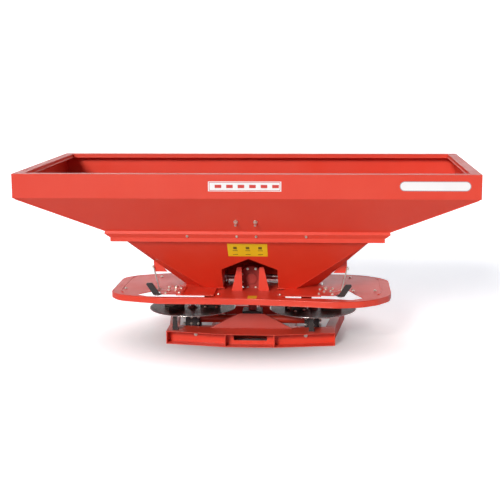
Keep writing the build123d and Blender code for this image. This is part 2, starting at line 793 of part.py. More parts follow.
UP = (Align.CENTER, Align.CENTER, Align.MIN)
side_middle = DISC_X - (SIDE_INNER - SIDE_OUTER) / 2
side_width = SIDE_INNER + SIDE_OUTER
with BuildPart() as main_gearbox_housing:
    with Locations((0, DRIVE_Y, DRIVE_Z)):
        Box(2 * HOUSING_HALF, 2 * HOUSING_HALF, 2 * HOUSING_HALF)
    fillet(main_gearbox_housing.edges().filter_by(Axis.Z), 10)
    with Locations((0, DRIVE_Y, DRIVE_Z)):
        Box(*[2 * (HOUSING_HALF - HOUSING_WALL)] * 3, mode=Mode.SUBTRACT)
    with Locations(along_x(0)):
        Cylinder(BEARING_RADIUS, 2 * HOUSING_HALF, mode=Mode.SUBTRACT)
    with Locations(along_y(DRIVE_Y)):
        Cylinder(BEARING_RADIUS, HOUSING_HALF, align=UP, mode=Mode.SUBTRACT)
    with Locations((0, DRIVE_Y, DRIVE_Z)):
        Cylinder(BEARING_RADIUS, HOUSING_HALF, align=UP, mode=Mode.SUBTRACT)
main_gearbox_housing.part.label = "main_gearbox_housing"
export_step(main_gearbox_housing.part, "parts/main_gearbox_housing.step")

with BuildPart() as side_gearbox_housings:
    for s in (-1, 1):
        with Locations((s * side_middle, DRIVE_Y, DRIVE_Z)):
            Box(side_width, 2 * HOUSING_HALF, 2 * HOUSING_HALF)
    fillet(side_gearbox_housings.edges().filter_by(Axis.Z), 10)
    for s in (-1, 1):
        with Locations((s * side_middle, DRIVE_Y, DRIVE_Z)):
            inner = 2 * (HOUSING_HALF - HOUSING_WALL)
            Box(side_width - 2 * HOUSING_WALL, inner, inner, mode=Mode.SUBTRACT)
        with Locations((s * DISC_X, DRIVE_Y, DRIVE_Z)):
            Cylinder(BEARING_RADIUS, HOUSING_HALF, align=UP, mode=Mode.SUBTRACT)
    with Locations(along_x(0)):
        Cylinder(BEARING_RADIUS, 2 * DISC_X, mode=Mode.SUBTRACT)
side_gearbox_housings.part.label = "side_gearbox_housings"
export_step(side_gearbox_housings.part, "parts/side_gearbox_housings.step")

tube_length = DISC_X - SIDE_INNER - HOUSING_HALF
tube_middle = HOUSING_HALF + tube_length / 2
with BuildPart() as cross_shaft_tubes:
    with Locations(along_x(-tube_middle), along_x(tube_middle)):
        Cylinder(TUBE_RADIUS, tube_length)
        Cylinder(BEARING_RADIUS, tube_length, mode=Mode.SUBTRACT)
cross_shaft_tubes.part.label = "cross_shaft_tubes"
export_step(cross_shaft_tubes.part, "parts/cross_shaft_tubes.step")

input_start = DRIVE_Y + HOUSING_HALF
INPUT_TUBE_END = 600
with BuildPart() as input_shaft_tube:
    with Locations(along_y(input_start)):
        Cylinder(TUBE_RADIUS, INPUT_TUBE_END - input_start, align=UP)
        Cylinder(BEARING_RADIUS, INPUT_TUBE_END - input_start, align=UP, mode=Mode.SUBTRACT)
input_shaft_tube.part.label = "input_shaft_tube"
export_step(input_shaft_tube.part, "parts/input_shaft_tube.step")

GUARD_TUBE_RADIUS = 60
with BuildPart() as pto_guard:
    with Locations(along_y(BEAM_FRONT)):
        Cylinder(GUARD_TUBE_RADIUS, 5, align=UP)
        Cylinder(TUBE_RADIUS, 5, align=UP, mode=Mode.SUBTRACT)
    with BuildSketch(Plane.XZ.offset(-BEAM_FRONT - 5)):
        with Locations((0, DRIVE_Z)):
            Circle(GUARD_TUBE_RADIUS)
            Circle(GUARD_TUBE_RADIUS - 4, mode=Mode.SUBTRACT)
    extrude(amount=-(PTO_END - BEAM_FRONT))
pto_guard.part.label = "pto_guard"
export_step(pto_guard.part, "parts/pto_guard.step")

housing_top = DRIVE_Z + HOUSING_HALF
with BuildPart() as agitator_column:
    with Locations((0, DRIVE_Y, housing_top)):
        Cylinder(TUBE_RADIUS, AGITATOR_Z - housing_top - 60, align=UP)
        Cylinder(BEARING_RADIUS, AGITATOR_Z - housing_top - 60, align=UP, mode=Mode.SUBTRACT)
    with Locations(along_y(DRIVE_Y, z=AGITATOR_Z)):
        Cylinder(AGITATOR_HOUSING_RADIUS, 2 * AGITATOR_HOUSING_HALF, mode=Mode.SUBTRACT)
agitator_column.part.label = "agitator_column"
export_step(agitator_column.part, "parts/agitator_column.step")

AGITATOR_CAVITY = 47
with BuildPart() as agitator_gearbox:
    with Locations(along_y(DRIVE_Y, z=AGITATOR_Z)):
        Cylinder(AGITATOR_HOUSING_RADIUS, 2 * AGITATOR_HOUSING_HALF)
    with Locations((0, DRIVE_Y, AGITATOR_Z)):
        Box(*[2 * AGITATOR_CAVITY] * 3, mode=Mode.SUBTRACT)
        Cylinder(BEARING_RADIUS, AGITATOR_HOUSING_RADIUS, align=(Align.CENTER, Align.CENTER, Align.MAX),
                 mode=Mode.SUBTRACT)
    with Locations(along_x(0, z=AGITATOR_Z)):
        Cylinder(BEARING_RADIUS, 2 * AGITATOR_HOUSING_RADIUS, mode=Mode.SUBTRACT)
agitator_gearbox.part.label = "agitator_gearbox"
export_step(agitator_gearbox.part, "parts/agitator_gearbox.step")

COVER_THICKNESS = 12
cover_back = DRIVE_Y - AGITATOR_HOUSING_HALF
with BuildPart() as agitator_gearbox_cover:
    with Locations(along_y(cover_back - COVER_THICKNESS, z=AGITATOR_Z)):
        Cylinder(AGITATOR_HOUSING_RADIUS, COVER_THICKNESS, align=UP)
    with Locations(along_y(cover_back - COVER_THICKNESS - 10, z=AGITATOR_Z)):
        Cylinder(34, 10, align=UP)
agitator_gearbox_cover.part.label = "agitator_gearbox_cover"
export_step(agitator_gearbox_cover.part, "parts/agitator_gearbox_cover.step")

ring_bore = SHAFT_RADIUS + RUNNING_GAP
stub_bore = STUB_RADIUS + RUNNING_GAP
half_wall = HOUSING_HALF - HOUSING_WALL / 2
with BuildPart() as gearbox_bearings:
    ring_places = [along_x(s * half_wall) for s in (-1, 1)]
    ring_places += [along_x(s * (DISC_X - SIDE_INNER + HOUSING_WALL / 2)) for s in (-1, 1)]
    ring_places += [Location((x, DRIVE_Y, DRIVE_Z + half_wall)) for x in (-DISC_X, 0, DISC_X)]
    ring_places += [along_x(s * 58, z=AGITATOR_Z) for s in (-1, 1)]
    ring_places += [Location((0, DRIVE_Y, AGITATOR_Z - 60))]
    with Locations(*ring_places):
        Cylinder(BEARING_RADIUS, HOUSING_WALL)
        Cylinder(ring_bore, HOUSING_WALL, mode=Mode.SUBTRACT)
    with Locations(along_y(DRIVE_Y + half_wall), along_y(INPUT_TUBE_END - 12)):
        Cylinder(BEARING_RADIUS, HOUSING_WALL)
        Cylinder(stub_bore, HOUSING_WALL, mode=Mode.SUBTRACT)
gearbox_bearings.part.label = "gearbox_bearings"
export_step(gearbox_bearings.part, "parts/gearbox_bearings.step")

with BuildPart() as agitator_bearings:
    for s in (-1, 1):
        with Locations(along_x(s * (TUNNEL_X + 1), z=AGITATOR_Z)):
            Cylinder(BEARING_RADIUS, 2 * (SHEET + 5))
        with Locations(along_x(s * (tunnel_inner - 4), z=AGITATOR_Z)):
            Cylinder(40, 8)
        with Locations(along_x(s * TUNNEL_X, z=AGITATOR_Z)):
            Cylinder(ring_bore, 60, mode=Mode.SUBTRACT)
agitator_bearings.part.label = "agitator_bearings"
export_step(agitator_bearings.part, "parts/agitator_bearings.step")

# ---------------------------------------------------------------- bevel gears
ADDENDUM = 0.8
DEDENDUM = 1.0
TOOTH_ROOT = 1.25
HALF_TOOTH = 0.66
PRESSURE = tan(radians(20))


def bevel_gear(teeth, mate, module, face):
    """Straight bevel gear on +Z with its apex at the origin and a tooth towards +X."""
    radius = module * teeth / 2
    reach = module * mate / 2
    cone = hypot(radius, reach)
    inner = 1 - face / cone

    def point(height):
        """Radius and height of a point on the back cone, above or below the pitch line."""
        return (radius + height * module * reach / cone, reach - height * module * radius / cone)

    root_radius, root_height = point(-DEDENDUM)
    with BuildPart() as gear:
        with BuildSketch(Plane.XZ):
            Polygon(
                (0, inner * root_height),
                (inner * root_radius, inner * root_height),
                (root_radius, root_height),
                (root_radius * 0.85, root_height + module * 0.5),
                (0, root_height + module * 0.5),
                align=None,
            )
        revolve(axis=Axis.Z)
        corners = []
        for height, flank in ((-TOOTH_ROOT, 1), (ADDENDUM, 1), (ADDENDUM, -1), (-TOOTH_ROOT, -1)):
            half_width = module * (HALF_TOOTH - height * PRESSURE)
            reach_radius, reach_height = point(height)
            corners.append((reach_radius, flank * half_width, reach_height))
        tooth = slab(corners, [(inner * x, inner * y, inner * z) for x, y, z in corners])
        with PolarLocations(0, teeth):
            add(tooth)
    return gear.part


def gear_place(x, z, axis, towards):
    """Location that turns a gear's +Z to an axis and its first tooth towards another."""
    return Plane(origin=(x, DRIVE_Y, z), x_dir=towards, z_dir=axis).location


def half_pitch(teeth):
    return Location((0, 0, 0), (0, 0, 180 / teeth))


AXIS_X = (1, 0, 0)
AXIS_LEFT = (-1, 0, 0)
AXIS_Y = (0, 1, 0)
AXIS_Z = (0, 0, 1)
AXIS_DOWN = (0, 0, -1)

shaft_end = DISC_X - MODULE * DISC_PINION / 2 * 0.75
with BuildPart() as cross_shaft:
    with Locations(along_x(0)):
        Cylinder(SHAFT_RADIUS, 2 * shaft_end)
    add(bevel_gear(CROWN, PINION, MODULE, TOOTH_FACE).moved(gear_place(0, DRIVE_Z, AXIS_X, AXIS_Y)))
    side_crown = bevel_gear(CROWN, DISC_PINION, MODULE, TOOTH_FACE)
    add(side_crown.moved(gear_place(DISC_X, DRIVE_Z, AXIS_LEFT, AXIS_Z)))
    add(side_crown.moved(gear_place(-DISC_X, DRIVE_Z, AXIS_X, AXIS_Z)))
cross_shaft.part.label = "cross_shaft"
export_step(cross_shaft.part, "parts/cross_shaft.step")

main_pinion = bevel_gear(PINION, CROWN, MODULE, TOOTH_FACE).moved(half_pitch(PINION))
pinion_back = MODULE * CROWN / 2
with BuildPart() as input_shaft:
    with Locations(along_y(DRIVE_Y + pinion_back)):
        Cylinder(STUB_RADIUS, INPUT_TUBE_END - DRIVE_Y - pinion_back, align=UP)
    add(main_pinion.moved(gear_place(0, DRIVE_Z, AXIS_Y, AXIS_X)))
    with BuildSketch(Plane.XZ.offset(-INPUT_TUBE_END)):
        with Locations((0, DRIVE_Z)):
            Circle(STUB_RADIUS)
            with PolarLocations(STUB_RADIUS, 6):
                Rectangle(6, 8.5, mode=Mode.SUBTRACT)
    extrude(amount=-(PTO_END - INPUT_TUBE_END))
input_shaft.part.label = "input_shaft"
export_step(input_shaft.part, "parts/input_shaft.step")

small_pinion = bevel_gear(PINION, AGITATOR_CROWN, SMALL_MODULE, SMALL_FACE).moved(half_pitch(PINION))
small_reach = SMALL_MODULE * AGITATOR_CROWN / 2
with BuildPart() as agitator_drive_shaft:
    add(main_pinion.moved(gear_place(0, DRIVE_Z, AXIS_Z, AXIS_X)))
    with Locations((0, DRIVE_Y, DRIVE_Z + pinion_back)):
        Cylinder(SHAFT_RADIUS, AGITATOR_Z - small_reach - DRIVE_Z - pinion_back, align=UP)
    add(small_pinion.moved(gear_place(0, AGITATOR_Z, AXIS_DOWN, AXIS_X)))
agitator_drive_shaft.part.label = "agitator_drive_shaft"
export_step(agitator_drive_shaft.part, "parts/agitator_drive_shaft.step")

AGITATOR_HALF = 312
FINGER_REACH = 38
with BuildPart() as agitator_shaft:
    with Locations(along_x(0, z=AGITATOR_Z)):
        Cylinder(SHAFT_RADIUS, 2 * AGITATOR_HALF)
    agitator_gear = bevel_gear(AGITATOR_CROWN, PINION, SMALL_MODULE, SMALL_FACE)
    add(agitator_gear.moved(gear_place(0, AGITATOR_Z, AXIS_X, AXIS_DOWN)))
    for s in (-1, 1):
        for x, turn in ((215, 0), (250, 60), (285, 120)):
            with Locations(Location((s * x, DRIVE_Y, AGITATOR_Z), (turn, 0, 0))):
                Cylinder(5, 2 * FINGER_REACH)
agitator_shaft.part.label = "agitator_shaft"
export_step(agitator_shaft.part, "parts/agitator_shaft.step")

# ---------------------------------------------------------------- spreading discs
disc_pinion = bevel_gear(DISC_PINION, CROWN, MODULE, TOOTH_FACE).moved(half_pitch(DISC_PINION))
DISC_FLAT = 185
RIM_RISE = 7
VANE_START = 62
VANE_HEIGHT = 30
HUB_RADIUS = 45
for label, s in SIDES.items():
    with BuildPart() as disc_drive:
        inward = AXIS_LEFT if s > 0 else AXIS_X
        add(disc_pinion.moved(gear_place(s * DISC_X, DRIVE_Z, AXIS_Z, inward)))
        with Locations((s * DISC_X, DRIVE_Y, DRIVE_Z + pinion_back)):
            Cylinder(SHAFT_RADIUS, DISC_Z + 30 - DRIVE_Z - pinion_back, align=UP)
        with Locations((s * DISC_X, DRIVE_Y, DISC_Z - 5)):
            Cylinder(HUB_RADIUS, 5, align=UP)
        with Locations((s * DISC_X, DRIVE_Y, DISC_Z + DISC_SHEET)):
            Cone(38, 20, 14, align=UP)
    disc_drive.part.label = f"disc_drive_{label}"
    export_step(disc_drive.part, f"parts/disc_drive_{label}.step")

    with BuildPart() as disc:
        disc_plane = Plane(origin=(s * DISC_X, DRIVE_Y, DISC_Z), x_dir=(1, 0, 0), z_dir=(0, -1, 0))
        with BuildSketch(disc_plane):
            Polygon(
                (SHAFT_RADIUS, 0),
                (DISC_FLAT, 0),
                (DISC_RADIUS - 6, RIM_RISE - 3),
                (DISC_RADIUS, RIM_RISE - 3),
                (DISC_RADIUS, RIM_RISE),
                (DISC_RADIUS - 7, RIM_RISE),
                (DISC_FLAT - 1, DISC_SHEET),
                (SHAFT_RADIUS, DISC_SHEET),
                align=None,
            )
        revolve(axis=Axis((s * DISC_X, DRIVE_Y, 0), (0, 0, 1)))
    disc.part.label = f"spreading_disc_{label}"
    export_step(disc.part, f"parts/spreading_disc_{label}.step")

    vane_length = DISC_FLAT - 3 - VANE_START
    vane_middle = VANE_START + vane_length / 2
    with BuildPart() as vanes:
        for turn in (20, 200):
            for lead in (-20, 20):
                angle = radians(turn + s * lead)
                centre = (s * DISC_X + vane_middle * cos(angle), DRIVE_Y + vane_middle * sin(angle))
                with BuildSketch(Plane.XY.offset(DISC_Z + DISC_SHEET)) as web:
                    with Locations(Location(centre, turn + s * lead)):
                        Rectangle(vane_length, 4)
                extrude(web.sketch, amount=VANE_HEIGHT)
                with BuildSketch(Plane.XY.offset(DISC_Z + DISC_SHEET)) as foot:
                    with Locations(Location(centre, turn + s * lead)):
                        with Locations((0, s * 12)):
                            Rectangle(vane_length, 20)
                extrude(foot.sketch, amount=3)
    vanes.part.label = f"disc_vanes_{label}"
    export_step(vanes.part, f"parts/disc_vanes_{label}.step")

# ---------------------------------------------------------------- fasteners
def facing(x, y, z, direction):
    """Location on a surface, with +Z along the surface's outward direction."""
    return Plane(origin=(x, y, z), z_dir=direction).location


web_y = -(NOSE_Y + SKIRT_Y) / 2
web_z = (NOSE_Z + WEB_BOTTOM) / 2
web_normal = (0, -(NOSE_Z - WEB_BOTTOM), -(NOSE_Y - SKIRT_Y))
knee_slope = (BASE_Y - KNEE_Y) / (BASE_X - KNEE_X)
BASE_BOLT_X = 348
base_bolt_y = KNEE_Y + (BASE_BOLT_X - KNEE_X) * knee_slope + WEB_FACE
cover_front = cover_back - COVER_THICKNESS
COVER_RING = AGITATOR_HOUSING_RADIUS - 12
COVER_BOLTS = 8
with BuildPart() as frame_fasteners:
    hex_bolts([facing(x, web_y, web_z, web_normal) for x in (-355, -58, 58, 355)], 8, 5)
    for s in (-1, 1):
        hex_bolts([Location((s * x, y, quadrant_top)) for x, y in QUADRANT_BOLTS], 9, 6)
        hex_bolts([facing(s * BASE_BOLT_X, base_bolt_y, 55, (s * knee_slope, -1, 0))], 12, 8)
    turns = [radians(360 / COVER_BOLTS * (k + 0.5)) for k in range(COVER_BOLTS)]
    ring = [(COVER_RING * cos(turn), AGITATOR_Z + COVER_RING * sin(turn)) for turn in turns]
    hex_bolts([facing(x, cover_front, z, (0, -1, 0)) for x, z in ring], 8, 6)
frame_fasteners.part.label = "frame_fasteners"
export_step(frame_fasteners.part, "parts/frame_fasteners.step")

STUD_X = 58
STUD_Z = 832
stud_y = THROAT_Y + (STUD_Z - COLLAR_TOP) * (RIM_Y - THROAT_Y) / slope_drop
slope_normal = (0, -slope_drop, -(RIM_Y - THROAT_Y))
with BuildPart() as sieve_catch_studs:
    places = [facing(x, -stud_y, STUD_Z, slope_normal) for x in (-STUD_X, STUD_X)]
    hex_bolts(places, 13, 9)
    with Locations(*[place * Location((0, 0, 11)) for place in places]):
        Cylinder(7, 20, align=UP)
sieve_catch_studs.part.label = "sieve_catch_studs"
export_step(sieve_catch_studs.part, "parts/sieve_catch_studs.step")
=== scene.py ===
import json
import math

import bmesh
import bpy
from mathutils import Matrix, Vector


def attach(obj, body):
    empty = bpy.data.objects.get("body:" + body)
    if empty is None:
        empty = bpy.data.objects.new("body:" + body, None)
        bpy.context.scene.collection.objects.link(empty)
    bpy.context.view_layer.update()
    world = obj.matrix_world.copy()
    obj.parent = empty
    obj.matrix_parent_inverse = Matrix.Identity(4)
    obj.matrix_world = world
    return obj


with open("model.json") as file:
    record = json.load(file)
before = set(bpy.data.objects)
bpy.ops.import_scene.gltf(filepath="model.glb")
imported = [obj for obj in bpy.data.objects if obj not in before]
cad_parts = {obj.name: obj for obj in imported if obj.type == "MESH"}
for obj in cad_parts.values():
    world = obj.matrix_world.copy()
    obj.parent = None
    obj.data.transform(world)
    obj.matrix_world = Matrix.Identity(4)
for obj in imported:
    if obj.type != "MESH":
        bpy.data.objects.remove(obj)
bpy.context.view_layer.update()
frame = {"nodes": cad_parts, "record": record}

# ------------------------------------------------------------------ sizes, in metres
RIM_X = 1.350
RIM_Y = 0.695
BAND_BOTTOM = 0.985
LIP_BOTTOM = 1.101
THROAT_X = 0.849
THROAT_Y = 0.495
THROAT_Z = 0.764
COLLAR_BOTTOM = 0.698
FUNNEL_X = 0.726
FUNNEL_Y = 0.460
FUNNEL_BOTTOM = 0.350
FOOT_X = 0.415
FOOT_Y = 0.145
FACET_X = 0.289
FACET_Y = 0.045
PANEL_RUN = (FUNNEL_Y - FOOT_Y) / (COLLAR_BOTTOM - FUNNEL_BOTTOM)
GUARD_TOP = 0.338
GUARD_EDGE = [
    (-0.873, -0.235), (-0.812, -0.330), (-0.700, -0.370), (-0.537, -0.419), (0, -0.419), (0.350, -0.462),
    (0.529, -0.495), (0.690, -0.466), (0.790, -0.395), (0.862, -0.290), (0.878, -0.180), (0.878, 0.190),
    (0.825, 0.268), (0.735, 0.335), (0.600, 0.372), (-0.600, 0.362), (-0.700, 0.328), (-0.795, 0.280),
    (-0.873, 0.205),
]
GUARD_CORNER = 0.120
QUADRANT_TOP = 0.353
PIVOT = (0.470, -0.175)
STAY_HEAD = (0.605, -0.225, 0.505)
STAY_FOOT = (0.570, -0.225, 0.353)
DISC_X = 0.390
DRIVE_Y = 0.005
DISC_TOP = 0.187
DISC_RADIUS = 0.277
DRIVE_Z = 0.115
HOUSING_HALF = 0.062
POST_X = 0.330
POST_REAR = 0.510
POST_HALF = 0.030
POST_DEPTH = 0.068
BASE_TOP = 0.0825
SIDES = {"left": -1, "right": 1}

SKY_LEVEL = 0.85
SUN_LEVEL = 2.8
SUN_WAY = (0.30, 0.90, -0.42)
FLOOR_GLOW = 0.55
FLOOR_HALF = 30
BACKDROP_Y = 8
BACKDROP_CURVE = 4
BACKDROP_TOP = 14


# ------------------------------------------------------------------ camera, light and floor
def place_camera():
    """Camera slightly right of the middle, looking down a little at the machine's rear."""
    data = bpy.data.cameras.new("camera")
    data.lens = 80.57
    data.sensor_width = 36
    data.clip_end = 200
    camera = bpy.data.objects.new("camera", data)
    turn = Matrix.Rotation(math.radians(4.161), 4, "Z")
    tilt = Matrix.Rotation(math.radians(90 - 9.877), 4, "X")
    roll = Matrix.Rotation(math.radians(-0.307), 4, "Z")
    camera.matrix_world = Matrix.Translation((0.4978, -7.0426, 1.7962)) @ turn @ tilt @ roll
    bpy.context.collection.objects.link(camera)
    bpy.context.scene.camera = camera


def place_light():
    """Low soft sun from behind the camera, a sky brightest beyond the machine, and a white backdrop."""
    world = bpy.data.worlds.new("studio")
    bpy.context.scene.world = world
    world.use_nodes = True
    tree = world.node_tree
    sky = tree.nodes["Background"]
    coords = tree.nodes.new("ShaderNodeTexCoord")
    split = tree.nodes.new("ShaderNodeSeparateXYZ")
    link(tree, coords.outputs["Generated"], split.inputs["Vector"])
    beyond = range_node(tree, split.outputs["Y"], -0.4, 0.9, 0.30, 1.0)
    low = range_node(tree, split.outputs["Z"], 0.05, 0.85, 1.0, 0.42)
    level = math_node(tree, "MULTIPLY", beyond, low)
    link(tree, mix_colour(tree, level, (0.05, 0.06, 0.09, 1), (0.80, 0.84, 1.0, 1)), sky.inputs["Color"])
    sky.inputs["Strength"].default_value = SKY_LEVEL
    white = tree.nodes.new("ShaderNodeBackground")
    white.inputs["Color"].default_value = (1, 1, 1, 1)
    path = tree.nodes.new("ShaderNodeLightPath")
    blend = tree.nodes.new("ShaderNodeMixShader")
    link(tree, path.outputs["Is Camera Ray"], blend.inputs[0])
    link(tree, sky.outputs["Background"], blend.inputs[1])
    link(tree, white.outputs["Background"], blend.inputs[2])
    link(tree, blend.outputs["Shader"], tree.nodes["World Output"].inputs["Surface"])
    sun = bpy.data.lights.new("sun", "SUN")
    sun.energy = SUN_LEVEL
    sun.angle = math.radians(16)
    sun.color = (1.0, 0.97, 0.93)
    sun_object = bpy.data.objects.new("sun", sun)
    sun_object.rotation_euler = Vector(SUN_WAY).to_track_quat("-Z", "Y").to_euler()
    bpy.context.collection.objects.link(sun_object)


def place_floor():
    """Pale floor that curves up into a backdrop, with a soft shadow painted under the machine.

    Only the camera sees its extra light.
    """
    bm = bmesh.new()
    profile = [(-FLOOR_HALF, 0), (BACKDROP_Y, 0)]
    for k in range(1, 10):
        a = math.radians(10 * k)
        profile.append((BACKDROP_Y + BACKDROP_CURVE * math.sin(a), BACKDROP_CURVE * (1 - math.cos(a))))
    profile.append((BACKDROP_Y + BACKDROP_CURVE, BACKDROP_TOP))
    left = [bm.verts.new((-FLOOR_HALF, y, z)) for y, z in profile]
    right = [bm.verts.new((FLOOR_HALF, y, z)) for y, z in profile]
    for k in range(len(profile) - 1):
        bm.faces.new((left[k], right[k], right[k + 1], left[k + 1]))
    floor = new_object("studio_floor", bm, smooth=True)
    material, shader = new_material("floor_white")
    tree = material.node_tree
    shader.inputs["Roughness"].default_value = 0.9
    shader.inputs["Specular IOR Level"].default_value = 0.1
    shader.inputs["Emission Color"].default_value = (1, 1, 1, 1)
    path = tree.nodes.new("ShaderNodeLightPath")
    coords = tree.nodes.new("ShaderNodeTexCoord")
    spread = tree.nodes.new("ShaderNodeVectorMath")
    spread.operation = "MULTIPLY"
    spread.inputs[1].default_value = (1.0, 1.3, 0.0)
    link(tree, coords.outputs["Object"], spread.inputs[0])
    reach = tree.nodes.new("ShaderNodeVectorMath")
    reach.operation = "LENGTH"
    link(tree, spread.outputs["Vector"], reach.inputs[0])
    # Painted shadow: under the machine the floor turns darker grey and its camera-only glow fades out.
    outside_painted_shadow = range_node(tree, reach.outputs["Value"], 0.35, 1.10, 0.0, 1.0)
    glow = math_node(tree, "MULTIPLY", outside_painted_shadow, FLOOR_GLOW)
    extra = math_node(tree, "MULTIPLY", path.outputs["Is Camera Ray"], glow)
    # The darker grey is the painted shadow under the machine; the pale grey is the open floor.
    shade = mix_colour(tree, outside_painted_shadow, (0.50, 0.50, 0.51, 1), (0.88, 0.885, 0.89, 1))
    link(tree, shade, shader.inputs["Base Color"])
    link(tree, extra, shader.inputs["Emission Strength"])
    floor.data.materials.append(material)


# ------------------------------------------------------------------ mesh helpers
def new_object(name, bm, smooth=False):
    """Object in the row frame from a bmesh."""
    bmesh.ops.recalc_face_normals(bm, faces=bm.faces)
    mesh = bpy.data.meshes.new(name)
    bm.to_mesh(mesh)
    bm.free()
    obj = bpy.data.objects.new(name, mesh)
    bpy.context.collection.objects.link(obj)
    if smooth:
        mesh.shade_smooth()
    return obj


def finish(obj, body, finish_name):
    """Gives a new piece its material and body."""
    obj.data.materials.append(MATERIALS[finish_name])
    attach(obj, body)
    return obj


def rounded_path(corners, radius, steps=5):
    """Closed flat path whose corners are short arcs."""
    path = []
    count = len(corners)
    for k in range(count):
        before, here, after = (Vector(corners[(k + d) % count][:2]) for d in (-1, 0, 1))
        toward = (before - here).normalized()
        onward = (after - here).normalized()
        half = toward.angle(onward) / 2
        reach = min(radius / math.tan(half), (before - here).length * 0.45, (after - here).length * 0.45)
        start = here + toward * reach
        end = here + onward * reach
        for i in range(steps + 1):
            t = i / steps
            path.append(start * (1 - t) ** 2 + here * 2 * t * (1 - t) + end * t ** 2)
    return path


def skin(bm, ring, following):
    """Faces between two rings of as many points."""
    count = len(ring)
    for i in range(count):
        j = (i + 1) % count
        bm.faces.new((ring[i], ring[j], following[j], following[i]))


def turned_rings(bm, profile, place, segments):
    """One ring of points for each (radius, height) of a profile, skinned to the next."""
    rings = []
    for radius, height in profile:
        turns = [2 * math.pi * i / segments for i in range(segments)]
        points = [Vector((radius * math.cos(a), radius * math.sin(a), height)) for a in turns]
        rings.append([bm.verts.new(place @ point) for point in points])
    for ring, following in zip(rings, rings[1:]):
        skin(bm, ring, following)
    return rings


def sweep(name, path, radius, closed=False, sides=8, ripple=0.0, squash=1.0):
    """Round bead along a path of points; ripple makes a weld's scales, squash flattens it."""
    bm = bmesh.new()
    rings = []
    count = len(path)
    points = [Vector(p) for p in path]
    for k, point in enumerate(points):
        ahead = points[(k + 1) % count] if closed or k < count - 1 else point
        behind = points[k - 1] if closed or k > 0 else point
        run = (ahead - behind).normalized()
        up = Vector((0, 0, 1)) if abs(run.z) < 0.9 else Vector((0, 1, 0))
        side = run.cross(up).normalized()
        up = side.cross(run)
        size = radius * (1 + ripple * math.cos(k * math.pi))
        ring = []
        for i in range(sides):
            a = 2 * math.pi * i / sides
            ring.append(bm.verts.new(point + side * size * math.cos(a) + up * size * squash * math.sin(a)))
        rings.append(ring)
    for k in range(count if closed else count - 1):
        skin(bm, rings[k], rings[(k + 1) % count])
    if not closed:
        bm.faces.new(rings[0])
        bm.faces.new(rings[-1])
    return new_object(name, bm, smooth=True)


def lathe(name, profile, places, segments=24):
    """Solid turned shapes of one profile, one at each placement matrix."""
    bm = bmesh.new()
    for place in places:
        rings = turned_rings(bm, profile, place, segments)
        bm.faces.new(rings[0])
        bm.faces.new(rings[-1])
    return new_object(name, bm, smooth=True)


def sleeve(name, profile, place, wall, segments=48):
    """Thin turned tube, open at both ends."""
    bm = bmesh.new()
    turned_rings(bm, profile, place, segments)
    tube = new_object(name, bm, smooth=True)
    tube.modifiers.new("wall", "SOLIDIFY").thickness = wall
    return tube


def sharpen(obj, width=0.0006, segments=2):
    """Rounds the crisp edges of a piece with a small bevel."""
    bevel = obj.modifiers.new("edge_round", "BEVEL")
    bevel.width = width
    bevel.segments = segments
    bevel.limit_method = "ANGLE"
    return obj


def plates(name, outlines, thickness, bevel=0.0006):
    """Flat plates: each outline is a list of 3-D points, thickened against its normal."""
    bm = bmesh.new()
    for outline in outlines:
        points = [Vector(p) for p in outline]
        normal = (points[1] - points[0]).cross(points[2] - points[1]).normalized()
        top = [bm.verts.new(p) for p in points]
        low = [bm.verts.new(p - normal * thickness) for p in points]
        bm.faces.new(top)
        bm.faces.new(low[::-1])
        for i in range(len(points)):
            j = (i + 1) % len(points)
            bm.faces.new((top[j], top[i], low[i], low[j]))
    return sharpen(new_object(name, bm), bevel)


def placed(x, y, z, facing=(0, 0, 1)):
    """Placement whose own Z points along facing."""
    return Matrix.Translation((x, y, z)) @ Vector(facing).to_track_quat("Z", "Y").to_matrix().to_4x4()


def along(start, end, step):
    """Points from start to end, a step apart."""
    start = Vector(start)
    end = Vector(end)
    count = max(2, int((end - start).length / step))
    return [start.lerp(end, k / count) for k in range(count + 1)]


def join(name, objects):
    """One piece from several meshes."""
    bm = bmesh.new()
    for obj in objects:
        bm.from_mesh(obj.data)
        bpy.data.objects.remove(obj)
    return new_object(name, bm, smooth=True)


# ------------------------------------------------------------------ shader groups
def link(tree, source, target):
    tree.links.new(source, target)


def new_group(name, inputs, outputs):
    """Empty shader group with named sockets."""
    group = bpy.data.node_groups.new(name, "ShaderNodeTree")
    for label, kind, value in inputs:
        socket = group.interface.new_socket(name=label, in_out="INPUT", socket_type=kind)
        socket.default_value = value
    for label, kind in outputs:
        group.interface.new_socket(name=label, in_out="OUTPUT", socket_type=kind)
    enter = group.nodes.new("NodeGroupInput")
    leave = group.nodes.new("NodeGroupOutput")
    return group, enter.outputs, leave.inputs


def math_node(tree, operation, a, b, clamp=False):
    """One Math node; a and b are sockets or numbers."""
    node = tree.nodes.new("ShaderNodeMath")
    node.operation = operation
    node.use_clamp = clamp
    for socket, value in zip(node.inputs, (a, b)):
        if isinstance(value, bpy.types.NodeSocket):
            link(tree, value, socket)
        else:
            socket.default_value = value
    return node.outputs[0]


def noise_node(tree, scale, detail=4.0, rough=0.55, stretch=(1, 1, 1)):
    """Noise in object coordinates, in metres."""
    coords = tree.nodes.new("ShaderNodeTexCoord")
    mapping = tree.nodes.new("ShaderNodeMapping")
    mapping.inputs["Scale"].default_value = stretch
    link(tree, coords.outputs["Object"], mapping.inputs["Vector"])
    noise = tree.nodes.new("ShaderNodeTexNoise")
    if isinstance(scale, bpy.types.NodeSocket):
        link(tree, scale, noise.inputs["Scale"])
    else:
        noise.inputs["Scale"].default_value = scale
    noise.inputs["Detail"].default_value = detail
    noise.inputs["Roughness"].default_value = rough
    link(tree, mapping.outputs["Vector"], noise.inputs["Vector"])
    return noise.outputs["Fac"]


